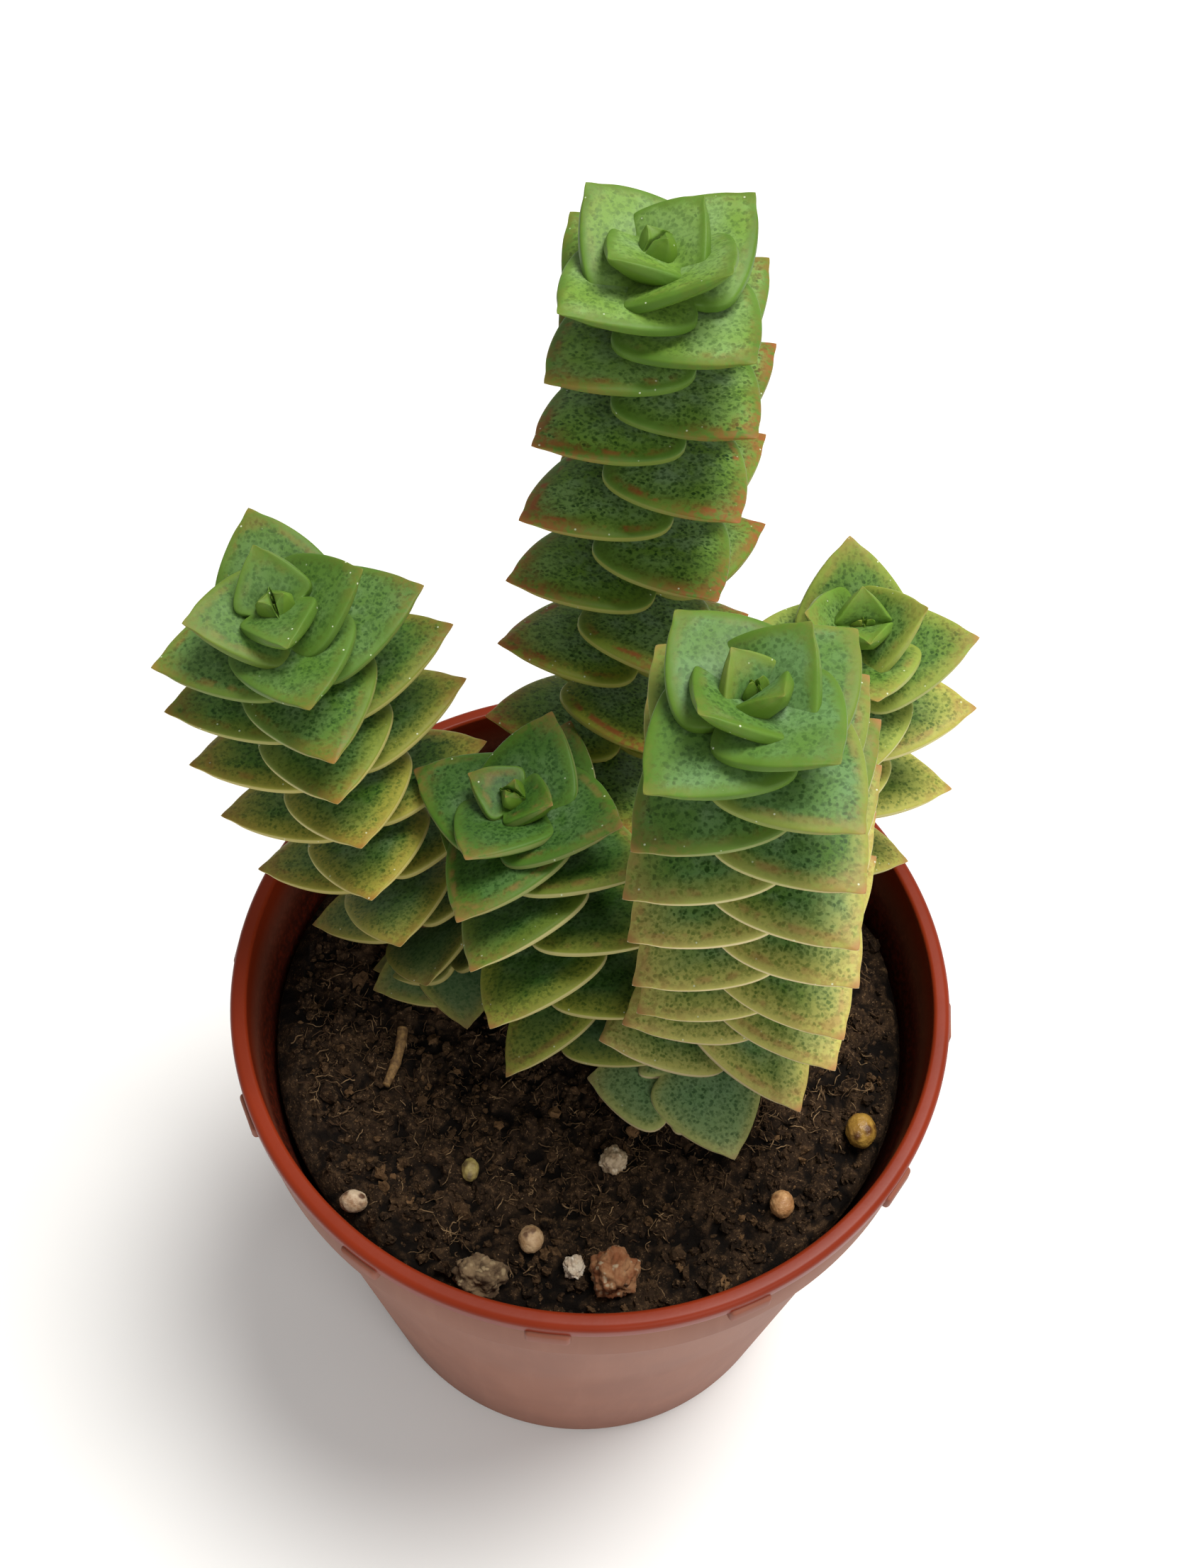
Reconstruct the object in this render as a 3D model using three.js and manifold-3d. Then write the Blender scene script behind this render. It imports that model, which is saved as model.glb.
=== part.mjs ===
// A potted string of buttons (Crassula perforata): five leafy stems in a tapered plastic nursery pot.
// Millimetres, +Z up. The origin is the middle of the pot's flat base.
import * as THREE from 'three';
import * as BufferGeometryUtils from 'three/addons/utils/BufferGeometryUtils.js';
import Module from 'manifold-3d';

const wasm = await Module();
wasm.setup();

// ---- driving dimensions ----

const GAP = 0.3; // left between neighbouring pieces
const GRID = 0.004; // corners of a fused stem are put on a grid this fine
const SLIVER = 0.08; // detail finer than this is dropped where blades fuse
const POT = {
  height: 77,
  rimRadius: 42.5,
  collarRadius: 41.7,
  collarHeight: 11,
  bodyTopRadius: 40.4,
  baseRadius: 31.8,
  wall: 1.2,
  floor: 2,
  lipWidth: 2,
  lipHeight: 2.2,
  ease: 0.5, // how much its edges are rounded off
  sides: 44,
};
const DRAIN = { radius: 3.5, circle: 21, count: 6, sides: 10 };
const TAB = { count: 12, turn: -34, length: 5, height: 2, reach: 1.2 };
const SOIL = {
  level: 68,
  rings: 8,
  sides: 36,
  relief: 0.8,
  drop: 1.2, // how much lower its surface lies at the wall
  inset: 1,
  shoulder: 3.2,
  shrink: 1.8, // the root ball has drawn back this far from the wall on the left
};
const STEM = { radius: 2.2, sides: 8, rootDepth: 14, neck: 2, bareFoot: 4 };
const LEAF = {
  around: 6,
  stations: [0, 0.22, 0.48, 0.76, 1], // shares of a blade's length where its section is drawn
  halfWidth: 8.1,
  broadening: 1.2, // the higher, the narrower young leaves are
  point: 0.95, // the higher, the finer its tip
  waist: 0.25, // how much narrower a pair is between its two blades
  waistLength: 6, // the higher, the shorter that waist
  ribTop: 0.9,
  ribBottom: 1.2,
  heelSink: 0.5, // how far the joined base of a pair stands in the pair below
  edge: 0.75, // half the thickness of the margin
  youngCup: 1.5, // how far the margins stand above the middle of the youngest blade
  oldCup: -0.5, // the same on a full blade, which arches over
  curl: 1.25, // how late the blade rises along its length
  seam: 0.3, // two young blades press against each other, but never cross
  bulkReach: 4, // blades shorter than this are thinner in proportion,
  leastBulk: 0.5, // down to this share
};
const JITTER = { reach: 0.03, lift: 2, turn: 2.5 };

// Each stem follows a cubic from its foot to its crown. Pairs of leaves stand at right angles to each
// other; pair k is first + spacing * k ** widening below the crown, and the youngest are huddled together
// up to huddle lower. reach is the length of a full leaf from the axis, young its share in the youngest
// open pair, old its share at the foot. lift is the angle of full leaves above the square plane, openLift
// that of the youngest. basal pairs rest on the soil beside the foot, where the stem has them. Angles are
// in degrees.
const STEMS = [
  {
    name: 'stem_front', foot: [10.6, -5.5], footPull: [23.3, -0.4, 95.5],
    crownPull: [16.2, -9.9, 91.8], crown: [12, -11.8, 154.1],
    first: 1.62, spacing: 1.88, widening: 1.309, huddle: 7.5,
    turn: -45.2, twist: -19.4, reach: 15.7, young: 0.37, growth: 2.83,
    old: 0.99, lift: -1.6, openLift: 54.1, opening: 1.7,
    basal: [
      { at: [13, -8.6, 71.5], turn: -68, reaches: [12, 6], lift: -7 },
      { at: [10, -11, 70.4], turn: -4, reaches: [7, 10], lift: 0 },
    ],
  },
  {
    name: 'stem_tall', foot: [-2.7, 15.3], footPull: [0.7, 22.4, 95.5],
    crownPull: [6.2, 30.9, 135.6], crown: [2.6, 27.1, 165.3],
    first: 1.06, spacing: 2.32, widening: 1.269, huddle: 5.8,
    turn: 228.8, twist: -50.7, reach: 14.8, young: 0.48, growth: 1.77,
    old: 1.02, lift: 2.9, openLift: 36.3, opening: 2.1,
  },
  {
    name: 'stem_left', foot: [-13.7, 5.5], footPull: [-29.2, 9.5, 83.2],
    crownPull: [-32.4, 18.4, 125.9], crown: [-32.5, 6.6, 134.1],
    first: 1.32, spacing: 3.18, widening: 1.12, huddle: 5.9,
    turn: 292.9, twist: -16.3, reach: 17.9, young: 0.4, growth: 2.6,
    old: 0.6, lift: 5.4, openLift: 35.1, opening: 2,
    basal: [
      { at: [-16.5, 5.2, 71.5], turn: -79, reaches: [10, 5], lift: -7 },
      { at: [-16.5, 4.8, 70.4], turn: 205, reaches: [11, 5], lift: 0 },
    ],
  },
  {
    name: 'stem_right', foot: [16.3, 14], footPull: [29.1, 21.4, 84.6],
    crownPull: [26.2, 23.7, 114.8], crown: [26.5, 15, 126.7],
    first: 1.42, spacing: 3.41, widening: 1.162, huddle: 5.9,
    turn: 102.1, twist: -36.7, reach: 17.2, young: 0.32, growth: 2.59,
    old: 0.84, lift: 5.4, openLift: 54.3, opening: 2.7,
  },
  {
    name: 'stem_small', foot: [0.2, -3.8], footPull: [-4.1, -1.3, 99.4],
    crownPull: [-9.4, 9.9, 97.9], crown: [-9.5, 2.4, 112.5],
    first: 1.8, spacing: 2.53, widening: 1.178, huddle: 6.4,
    turn: -22.8, twist: -10.1, reach: 17.3, young: 0.35, growth: 1.71,
    old: 0.76, lift: -4.7, openLift: 31.1, opening: 2.3,
  },
];
const HUDDLED = 2; // about how many open pairs are huddled together
const BUD = [
  { below: 0.9, share: 0.5, lift: 68 },
  { below: 0.2, share: 0.28, lift: 76 },
];

// Loose grains that lie half sunk in the soil: place, width, depth and height.
const GRAIN = { rise: 0.1, roughness: 0.07 };
const GRAINS = [
  { name: 'clay_grain_front', at: [4, -33], size: [5.2, 5.6, 4.8], colour: 0xb0805a },
  { name: 'clay_grain_rim', at: [-11, -34], size: [5.6, 4.6, 4.4], colour: 0x8f7c62 },
  { name: 'perlite_large', at: [3.5, -19.5], size: [3, 3.2, 2.8], colour: 0xc9b8a0 },
  { name: 'perlite_small', at: [-0.5, -32.5], size: [2.2, 2.6, 2], colour: 0xcdbfae },
  { name: 'feed_grain_right', at: [32.5, -14.5], size: [3.6, 4.2, 3.4], colour: 0x9a7a3a },
  { name: 'feed_grain_front', at: [23, -24], size: [2.8, 3.2, 2.8], colour: 0xb98a4e },
  { name: 'feed_grain_middle', at: [-5.5, -29.5], size: [2.8, 3.2, 2.6], colour: 0xa98a62 },
  { name: 'feed_grain_left', at: [-26, -26], size: [3.2, 2.6, 2.6], colour: 0xb59a78 },
  { name: 'feed_grain_inner', at: [-13, -21.5], size: [2, 2.8, 2], colour: 0xa89468 },
];
const TWIG = { from: [-22.5, -4], to: [-23.7, -11.5], rise: 0.6, radius: 0.8, sides: 7, colour: 0x8a6a3c };

const COLOURS = { pot: 0x96502f, soil: 0x2c221b, leaf: 0x6f8a45 };

// ---- helpers ----

const UP = new THREE.Vector3(0, 0, 1);
const radians = THREE.MathUtils.degToRad;

// A repeatable draw between -1 and 1.
function draw(seed) {
  const wave = Math.sin(seed * 12.9898) * 43758.5453;
  return 2 * (wave - Math.floor(wave)) - 1;
}

function solid(geometry) {
  const bare = geometry.clone();
  bare.deleteAttribute('normal');
  bare.deleteAttribute('uv');
  const merged = BufferGeometryUtils.mergeVertices(bare, 1e-4);
  return new wasm.Manifold(new wasm.Mesh({
    numProp: 3,
    vertProperties: new Float32Array(merged.attributes.position.array),
    triVerts: new Uint32Array(merged.index.array),
  }));
}

function geometryOf(body) {
  const mesh = body.getMesh();
  const geometry = new THREE.BufferGeometry();
  geometry.setAttribute('position', new THREE.BufferAttribute(new Float32Array(mesh.vertProperties), 3));
  geometry.setIndex(new THREE.BufferAttribute(new Uint32Array(mesh.triVerts), 1));
  geometry.computeVertexNormals();
  return geometry;
}

// Puts every corner on a fine grid, so that corners either coincide or stand well apart.
function snapped(geometry) {
  const position = geometry.attributes.position;
  for (let index = 0; index < position.array.length; index += 1) {
    position.array[index] = Math.round(position.array[index] / GRID) * GRID;
  }
  return geometry;
}

// The outermost shell, without loose scraps and sealed hollows.
function largestBody(body) {
  return body.decompose().reduce((best, piece) => (piece.volume() > best.volume() ? piece : best));
}

function piece(name, body, colour, roughness) {
  const material = new THREE.MeshStandardMaterial({ color: colour, roughness, metalness: 0 });
  const mesh = new THREE.Mesh(geometryOf(body), material);
  mesh.name = name;
  return mesh;
}

function uprightLathe(profile, sides) {
  const points = profile.map(([radius, height]) => new THREE.Vector2(radius, height));
  return new THREE.LatheGeometry(points, sides).rotateX(Math.PI / 2);
}

// ---- pot ----

function innerRadius(height) {
  const share = height / (POT.height - POT.collarHeight);
  return THREE.MathUtils.lerp(POT.baseRadius, POT.bodyTopRadius, Math.min(share, 1)) - POT.wall;
}

function makePot() {
  const shoulder = POT.height - POT.collarHeight;
  const lipFoot = POT.height - POT.lipHeight;
  const lipInner = POT.rimRadius - POT.lipWidth;
  const profile = [
    [0, 0],
    [POT.baseRadius - POT.ease, 0],
    [POT.baseRadius, POT.ease],
    [POT.bodyTopRadius, shoulder],
    [POT.collarRadius, shoulder + POT.ease],
    [POT.collarRadius, lipFoot - POT.ease],
    [POT.rimRadius, lipFoot],
    [POT.rimRadius, POT.height - POT.ease],
    [POT.rimRadius - POT.ease, POT.height],
    [lipInner + POT.ease, POT.height],
    [lipInner, POT.height - POT.ease],
    [innerRadius(shoulder) + POT.ease, shoulder + 2 * POT.ease],
    [innerRadius(shoulder), shoulder - 2 * POT.ease],
    [innerRadius(POT.floor), POT.floor],
    [0, POT.floor],
  ];
  let body = solid(uprightLathe(profile, POT.sides));
  for (let index = 0; index < TAB.count; index += 1) {
    body = body.add(solid(tabUnderLip(radians(TAB.turn + (360 * index) / TAB.count))));
  }
  for (let index = 0; index < DRAIN.count; index += 1) {
    const angle = (2 * Math.PI * index) / DRAIN.count;
    const hole = new THREE.CylinderGeometry(DRAIN.radius, DRAIN.radius, 3 * POT.floor, DRAIN.sides);
    hole.rotateX(Math.PI / 2);
    hole.translate(DRAIN.circle * Math.cos(angle), DRAIN.circle * Math.sin(angle), POT.floor / 2);
    body = body.subtract(solid(hole));
  }
  return body;
}

// A short moulded block in the corner under the lip.
function tabUnderLip(angle) {
  const block = new THREE.BoxGeometry(TAB.reach + POT.wall, TAB.length, TAB.height + POT.ease);
  const top = POT.height - POT.lipHeight + POT.ease;
  block.translate(POT.collarRadius + (TAB.reach - POT.wall) / 2, 0, top - (TAB.height + POT.ease) / 2);
  return block.rotateZ(angle);
}

// ---- soil and what lies in it ----

function soilHeight(x, y) {
  const wide = Math.sin(0.23 * x + 1.3) * Math.cos(0.19 * y - 0.6);
  const lumps = Math.sin(0.61 * x - 0.43 * y) * Math.sin(0.52 * y + 0.37 * x + 2.1);
  const crumbs = draw(Math.round(x * 3) * 7 + Math.round(y * 3) * 13);
  return SOIL.level + SOIL.relief * (0.45 * wide + 0.55 * lumps + 0.35 * crumbs);
}

function makeSoil() {
  const wallTop = SOIL.level - SOIL.shoulder;
  const rim = innerRadius(SOIL.level) - GAP;
  const profile = [[0, POT.floor + GAP]];
  profile.push([innerRadius(POT.floor) - 2 * GAP, POT.floor + GAP]);
  profile.push([innerRadius(wallTop) - 2 * GAP, wallTop]);
  for (let ring = SOIL.rings; ring >= 0; ring -= 1) {
    profile.push([((rim - SOIL.inset) * ring) / SOIL.rings, SOIL.level]);
  }
  const geometry = uprightLathe(profile, SOIL.sides);
  const position = geometry.attributes.position;
  for (let index = 0; index < position.count; index += 1) {
    if (position.getZ(index) < SOIL.level - 1e-6) continue;
    const x = position.getX(index);
    const y = position.getY(index);
    const radius = Math.hypot(x, y);
    const leftness = radius > 0 ? Math.max(0, -x / radius) ** 2 : 0;
    const squeeze = 1 - (SOIL.shrink * leftness * (radius / rim) ** 6) / rim;
    const drop = SOIL.drop * (radius / rim) ** 8;
    position.setXYZ(index, x * squeeze, y * squeeze, soilHeight(x, y) - drop);
  }
  return solid(geometry);
}

function grainBody(grain, growth) {
  const geometry = new THREE.OctahedronGeometry(1, 1);
  const lump = BufferGeometryUtils.mergeVertices(geometry.deleteAttribute('normal').deleteAttribute('uv'));
  const position = lump.attributes.position;
  for (let index = 0; index < position.count; index += 1) {
    const corner = new THREE.Vector3().fromBufferAttribute(position, index);
    const seed = Math.round(corner.x * 9) + 31 * Math.round(corner.y * 9) + 57 * Math.round(corner.z * 9);
    corner.multiplyScalar(1 + GRAIN.roughness * draw(seed + grain.at[0]));
    const half = grain.size.map((width) => width / 2 + growth);
    position.setXYZ(index, corner.x * half[0], corner.y * half[1], corner.z * half[2]);
  }
  const [x, y] = grain.at;
  return solid(lump).translate([x, y, SOIL.level + GRAIN.rise * grain.size[2]]);
}

function twigBody(growth) {
  const from = new THREE.Vector3(...TWIG.from, SOIL.level + TWIG.rise);
  const to = new THREE.Vector3(...TWIG.to, SOIL.level + TWIG.rise);
  const stretch = to.clone().sub(from).setLength(growth);
  return rod(from.clone().sub(stretch), to.add(stretch), TWIG.radius + growth, TWIG.sides);
}

// ---- leafy stems ----

function stemAxis(stem) {
  return new THREE.CubicBezierCurve3(
    new THREE.Vector3(...stem.foot, SOIL.level),
    new THREE.Vector3(...stem.footPull),
    new THREE.Vector3(...stem.crownPull),
    new THREE.Vector3(...stem.crown),
  );
}

// A round rod between two points.
function rod(from, to, radius, sides) {
  const run = to.clone().sub(from);
  const geometry = new THREE.CylinderGeometry(radius, radius, run.length(), sides);
  geometry.applyQuaternion(new THREE.Quaternion().setFromUnitVectors(
    new THREE.Vector3(0, 1, 0),
    run.normalize(),
  ));
  const middle = from.clone().add(to).multiplyScalar(0.5);
  return solid(geometry.translate(middle.x, middle.y, middle.z));
}

// Below the soil the stem goes straight down, in a plain hole.
function rootStock(stem, growth) {
  const top = new THREE.Vector3(...stem.foot, SOIL.level + STEM.neck);
  const tip = new THREE.Vector3(...stem.foot, SOIL.level - STEM.rootDepth - growth);
  return rod(tip, top, STEM.radius + growth, STEM.sides);
}

// One point of a pair of leaves. along runs from -1 to 1 between the two tips, round is the angle about
// the midrib, and growth thickens the whole pair.
function leafPoint(along, round, pair, growth) {
  const share = Math.abs(along);
  const leaf = along < 0 ? pair.leaves[1] : pair.leaves[0];
  const sign = along < 0 ? -1 : 1;
  const reach = leaf.reach + growth;
  const lift = radians(leaf.lift);
  const body = 1 - share ** 4;
  const size = pair.reach / pair.fullReach;
  const cup = THREE.MathUtils.lerp(LEAF.youngCup, LEAF.oldCup, size);
  const breadth = Math.sin((size * Math.PI) / 2) ** LEAF.broadening;
  const broadest = pair.slimming * LEAF.halfWidth * breadth + growth;
  const waist = 1 - LEAF.waist * (1 - share) ** LEAF.waistLength;
  const halfWidth = broadest * waist * (1 - share ** 2) ** LEAF.point;
  const across = (halfWidth * Math.cos(round)) / Math.cos(Math.PI / 6);
  const atRib = 2 * Math.abs(Math.sin(round)) - 1;
  const top = (cup + LEAF.edge) * (1 - atRib) + LEAF.ribTop * atRib;
  const ribBottom = LEAF.ribBottom + pair.heel * (1 - share) ** 3;
  const bottom = (cup - LEAF.edge) * (1 - atRib) - ribBottom * atRib;
  const face = Math.sin(round) > 0 ? top : bottom;
  const bulk = THREE.MathUtils.clamp(pair.reach / LEAF.bulkReach, LEAF.leastBulk, 1);
  const up = body * (bulk * face + Math.sign(Math.sin(round)) * growth);
  const tilt = lift * Math.min(1, 2 * share);
  const outwards = reach * share * Math.cos(lift) - Math.sin(tilt) * up;
  return new THREE.Vector3(
    sign * Math.max(outwards, LEAF.seam * share),
    across + leaf.bend * share ** 2,
    reach * Math.sin(lift) * share ** LEAF.curl + Math.cos(tilt) * up,
  );
}

function pairBody(pair, growth) {
  const steps = LEAF.stations.length - 1;
  const geometry = new THREE.SphereGeometry(1, LEAF.around, 2 * steps);
  const position = geometry.attributes.position;
  for (let index = 0; index < position.count; index += 1) {
    const height = THREE.MathUtils.clamp(position.getY(index), -1, 1);
    const station = Math.round((steps * Math.asin(height)) / (Math.PI / 2));
    const along = Math.sign(station) * LEAF.stations[Math.abs(station)];
    const round = Math.atan2(position.getX(index), position.getZ(index));
    const point = leafPoint(along, round, pair, growth);
    position.setXYZ(index, point.x, point.y, point.z);
  }
  geometry.rotateZ(radians(pair.turn));
  geometry.applyQuaternion(new THREE.Quaternion().setFromUnitVectors(UP, pair.axis));
  return solid(geometry.translate(pair.centre.x, pair.centre.y, pair.centre.z));
}

function basalPair(stem, { at, turn, reaches, lift }) {
  return {
    leaves: reaches.map((reach) => ({ reach, lift, bend: 0 })),
    slimming: 1,
    reach: Math.max(...reaches),
    fullReach: stem.reach,
    turn,
    heel: 0,
    centre: new THREE.Vector3(...at),
    axis: UP,
  };
}

// The pairs of a stem from the bud down to the foot.
function pairsOf(stem, stemIndex) {
  const axis = stemAxis(stem);
  const length = axis.getLength();
  const pairs = [];
  const place = (below, number, reach, lift) => {
    const along = Math.max(0, 1 - below / length);
    const seed = 100 * stemIndex + number;
    const quarter = 90 * (Math.abs(number) % 2);
    const leaves = [0, 1].map((side) => ({
      reach: reach * (1 + JITTER.reach * draw(seed + 0.3 + side)),
      lift: lift + JITTER.lift * draw(seed + 0.6 + side),
      bend: 0,
    }));
    pairs.push({
      leaves,
      slimming: 1,
      reach,
      fullReach: stem.reach,
      turn: stem.turn + quarter + (stem.twist * below) / length + JITTER.turn * draw(seed),
      below,
      centre: axis.getPointAt(along),
      axis: axis.getTangentAt(along).normalize(),
    });
  };
  [...BUD].reverse().forEach((bud, index) => {
    place(bud.below + stem.huddle, index - BUD.length, stem.reach * stem.young * bud.share, bud.lift);
  });
  for (let number = 0; ; number += 1) {
    const below = stem.first + stem.spacing * number ** stem.widening;
    if (below > length - STEM.bareFoot) break;
    const grown = 1 - (1 - stem.young) * Math.exp(-number / stem.growth);
    const aged = 1 - (1 - stem.old) * (below / length) ** 2;
    const lift = stem.lift + (stem.openLift - stem.lift) * Math.exp(-((number / stem.opening) ** 2));
    const huddle = stem.huddle * Math.exp(-((number / HUDDLED) ** 2));
    place(below + huddle, number, stem.reach * grown * aged, lift);
  }
  pairs.forEach((pair, index) => {
    const next = index + 1 < pairs.length ? pairs[index + 1].below : pair.below + LEAF.heelSink;
    pair.heel = Math.max(0, next - pair.below - LEAF.ribBottom - LEAF.ribTop + LEAF.heelSink);
  });
  const basal = (stem.basal ?? []).map((place) => basalPair(stem, place));
  return [...basal, ...pairs];
}

// Ways for a crowded leaf to stay clear, mildest first: swing aside, rise, stay shorter. A pair that
// still finds no room is slimmer.
const DODGE_SHARES = [1, 0.9, 0.8, 0.7, 0.6, 0.5, 0.4, 0.3];
const DODGE_LIFTS = [0, 7, 14, -6];
const DODGE_BENDS = [0, 2, -2];
const DODGE_SLIMMINGS = [1, 0.85, 0.7, 0.55, 0.4];
const DODGES = DODGE_SHARES.flatMap((share) => (
  DODGE_LIFTS.flatMap((lift) => DODGE_BENDS.map((bend) => ({ share, lift, bend })))
));

function crosses(body, others) {
  return others.some((other) => !other.intersect(body).isEmpty());
}

// Settles each leaf of a pair so that the pair, thickened by the gap, crosses none of the others.
function settle(pair, others) {
  for (const slimming of DODGE_SLIMMINGS) {
    const leaves = [0, 1].map((side) => settledLeaf({ ...pair, slimming }, side, others));
    if (leaves[0] && leaves[1]) return { ...pair, slimming, leaves };
  }
  throw new Error('a pair of leaves finds no room');
}

function settledLeaf(pair, side, others) {
  const shortest = { share: Math.min(...DODGE_SHARES), lift: 0, bend: 0 };
  const choice = DODGES.find((dodge) => {
    const leaves = pair.leaves.map((leaf, index) => dodged(leaf, index === side ? dodge : shortest));
    return !crosses(pairBody({ ...pair, leaves }, GAP), others);
  });
  return choice && dodged(pair.leaves[side], choice);
}

function dodged(leaf, dodge) {
  return { reach: leaf.reach * dodge.share, lift: leaf.lift + dodge.lift, bend: leaf.bend + dodge.bend };
}

function makeStem(stem, stemIndex, others) {
  const pairs = pairsOf(stem, stemIndex).map((pair) => settle(pair, others));
  const neck = new THREE.Vector3(...stem.foot, SOIL.level + STEM.neck / 2);
  const shank = rod(neck, pairs[pairs.length - 1].centre, STEM.radius, STEM.sides);
  const base = rootStock(stem, 0).add(shank);
  const fused = pairs.reduce((body, pair) => body.add(pairBody(pair, 0)), base);
  return largestBody(solid(snapped(geometryOf(fused.simplify(SLIVER)))));
}

// ---- assembly ----

const part = new THREE.Group();

const pot = makePot();
let soil = makeSoil();
for (const stem of STEMS) soil = soil.subtract(rootStock(stem, GAP));
for (const grain of GRAINS) soil = soil.subtract(grainBody(grain, GAP));
soil = largestBody(soil.subtract(twigBody(GAP)));

part.add(piece('pot', pot, COLOURS.pot, 0.45));
part.add(piece('soil', soil, COLOURS.soil, 0.95));
const placed = [pot, soil];
for (const grain of GRAINS) {
  const body = grainBody(grain, 0);
  placed.push(body);
  part.add(piece(grain.name, body, grain.colour, 0.9));
}
const twig = twigBody(0);
placed.push(twig);
part.add(piece('twig', twig, TWIG.colour, 0.85));
STEMS.forEach((stem, index) => {
  const body = makeStem(stem, index, placed);
  placed.push(body);
  part.add(piece(stem.name, body, COLOURS.leaf, 0.6));
});

export default part;
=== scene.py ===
"""Looks of a potted string of buttons (Crassula perforata): fine leaves, pot, soil and grains.

Sizes are in millimetres and become metres where a mesh is made. The frame is the CAD part's own:
origin in the middle of the pot's flat base, +Z up, -Y towards the camera.
"""
import math
import random
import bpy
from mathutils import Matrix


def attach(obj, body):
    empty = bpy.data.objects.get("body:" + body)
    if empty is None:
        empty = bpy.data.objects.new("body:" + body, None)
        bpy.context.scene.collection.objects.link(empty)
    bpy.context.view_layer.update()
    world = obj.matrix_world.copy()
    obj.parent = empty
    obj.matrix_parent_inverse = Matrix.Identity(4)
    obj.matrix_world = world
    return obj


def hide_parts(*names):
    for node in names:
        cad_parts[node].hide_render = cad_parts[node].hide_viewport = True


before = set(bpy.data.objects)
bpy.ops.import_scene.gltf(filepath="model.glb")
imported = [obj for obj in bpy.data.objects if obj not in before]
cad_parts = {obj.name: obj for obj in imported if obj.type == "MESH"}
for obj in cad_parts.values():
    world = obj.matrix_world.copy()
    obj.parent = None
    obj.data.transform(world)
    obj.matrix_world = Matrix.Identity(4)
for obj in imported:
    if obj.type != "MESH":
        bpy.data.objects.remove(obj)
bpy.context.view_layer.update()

from types import SimpleNamespace as Values

import bmesh
import bpy
import numpy as np
from mathutils import Matrix, Quaternion, Vector, kdtree, noise

MM = 0.001

# ---- driving dimensions, as in the CAD part ----

GAP = 0.3
POT = Values(
    height=77, rim_radius=42.5, collar_radius=41.7, collar_height=11, body_top_radius=40.4,
    base_radius=31.8, wall=1.2, floor=2, lip_width=2, lip_height=2.2, ease=0.5,
)
SHOULDER = POT.height - POT.collar_height
LIP_FOOT = POT.height - POT.lip_height
DRAIN = Values(radius=3.5, circle=21, count=6)
TAB = Values(count=12, turn=-34, length=5, height=2, reach=1.2)
SOIL = Values(level=68, relief=0.8, drop=1.2, inset=1, shoulder=3.2, shrink=1.8)
STEM = Values(radius=2.2, root_depth=14, bare_foot=4)
LEAF = Values(
    half_width=8.1, broadening=1.2, point=0.95, waist=0.25, waist_length=6, rib_top=0.9, rib_bottom=1.2,
    heel_sink=0.5, edge=0.75, young_cup=1.5, old_cup=-0.5, curl=1.25, seam=0.3, bulk_reach=4,
    least_bulk=0.5,
)
JITTER = Values(reach=0.03, lift=2, turn=2.5)
# foot to crown: the cubic of the stem's middle line. first to huddle: how far below the crown the pairs
# stand. turn, twist: which way they point. reach to old: how long the leaves are. lift to opening: how
# steeply they rise. basal: place, turn, reaches and lift of each pair that rests on the soil.
STEMS = {
    "stem_front": Values(
        foot=(10.6, -5.5), foot_pull=(23.3, -0.4, 95.5), crown_pull=(16.2, -9.9, 91.8),
        crown=(12, -11.8, 154.1), first=1.62, spacing=1.88, widening=1.309, huddle=7.5, turn=-45.2,
        twist=-19.4, reach=15.7, young=0.37, growth=2.83, old=0.99, lift=-1.6, open_lift=54.1, opening=1.7,
        basal=[((13, -8.6, 71.5), -68, (12, 6), -7), ((10, -11, 70.4), -4, (7, 10), 0)],
    ),
    "stem_tall": Values(
        foot=(-2.7, 15.3), foot_pull=(0.7, 22.4, 95.5), crown_pull=(6.2, 30.9, 135.6),
        crown=(2.6, 27.1, 165.3), first=1.06, spacing=2.32, widening=1.269, huddle=5.8, turn=228.8,
        twist=-50.7, reach=14.8, young=0.48, growth=1.77, old=1.02, lift=2.9, open_lift=36.3, opening=2.1,
        basal=[],
    ),
    "stem_left": Values(
        foot=(-13.7, 5.5), foot_pull=(-29.2, 9.5, 83.2), crown_pull=(-32.4, 18.4, 125.9),
        crown=(-32.5, 6.6, 134.1), first=1.32, spacing=3.18, widening=1.12, huddle=5.9, turn=292.9,
        twist=-16.3, reach=17.9, young=0.4, growth=2.6, old=0.6, lift=5.4, open_lift=35.1, opening=2,
        basal=[((-16.5, 5.2, 71.5), -79, (10, 5), -7), ((-16.5, 4.8, 70.4), 205, (11, 5), 0)],
    ),
    "stem_right": Values(
        foot=(16.3, 14), foot_pull=(29.1, 21.4, 84.6), crown_pull=(26.2, 23.7, 114.8),
        crown=(26.5, 15, 126.7), first=1.42, spacing=3.41, widening=1.162, huddle=5.9, turn=102.1,
        twist=-36.7, reach=17.2, young=0.32, growth=2.59, old=0.84, lift=5.4, open_lift=54.3, opening=2.7,
        basal=[],
    ),
    "stem_small": Values(
        foot=(0.2, -3.8), foot_pull=(-4.1, -1.3, 99.4), crown_pull=(-9.4, 9.9, 97.9),
        crown=(-9.5, 2.4, 112.5), first=1.8, spacing=2.53, widening=1.178, huddle=6.4, turn=-22.8,
        twist=-10.1, reach=17.3, young=0.35, growth=1.71, old=0.76, lift=-4.7, open_lift=31.1, opening=2.3,
        basal=[],
    ),
}
HUDDLED = 2
BUD = [(0.9, 0.5, 68), (0.2, 0.28, 76)]  # depth below the crown, share of the young reach, lift
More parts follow.
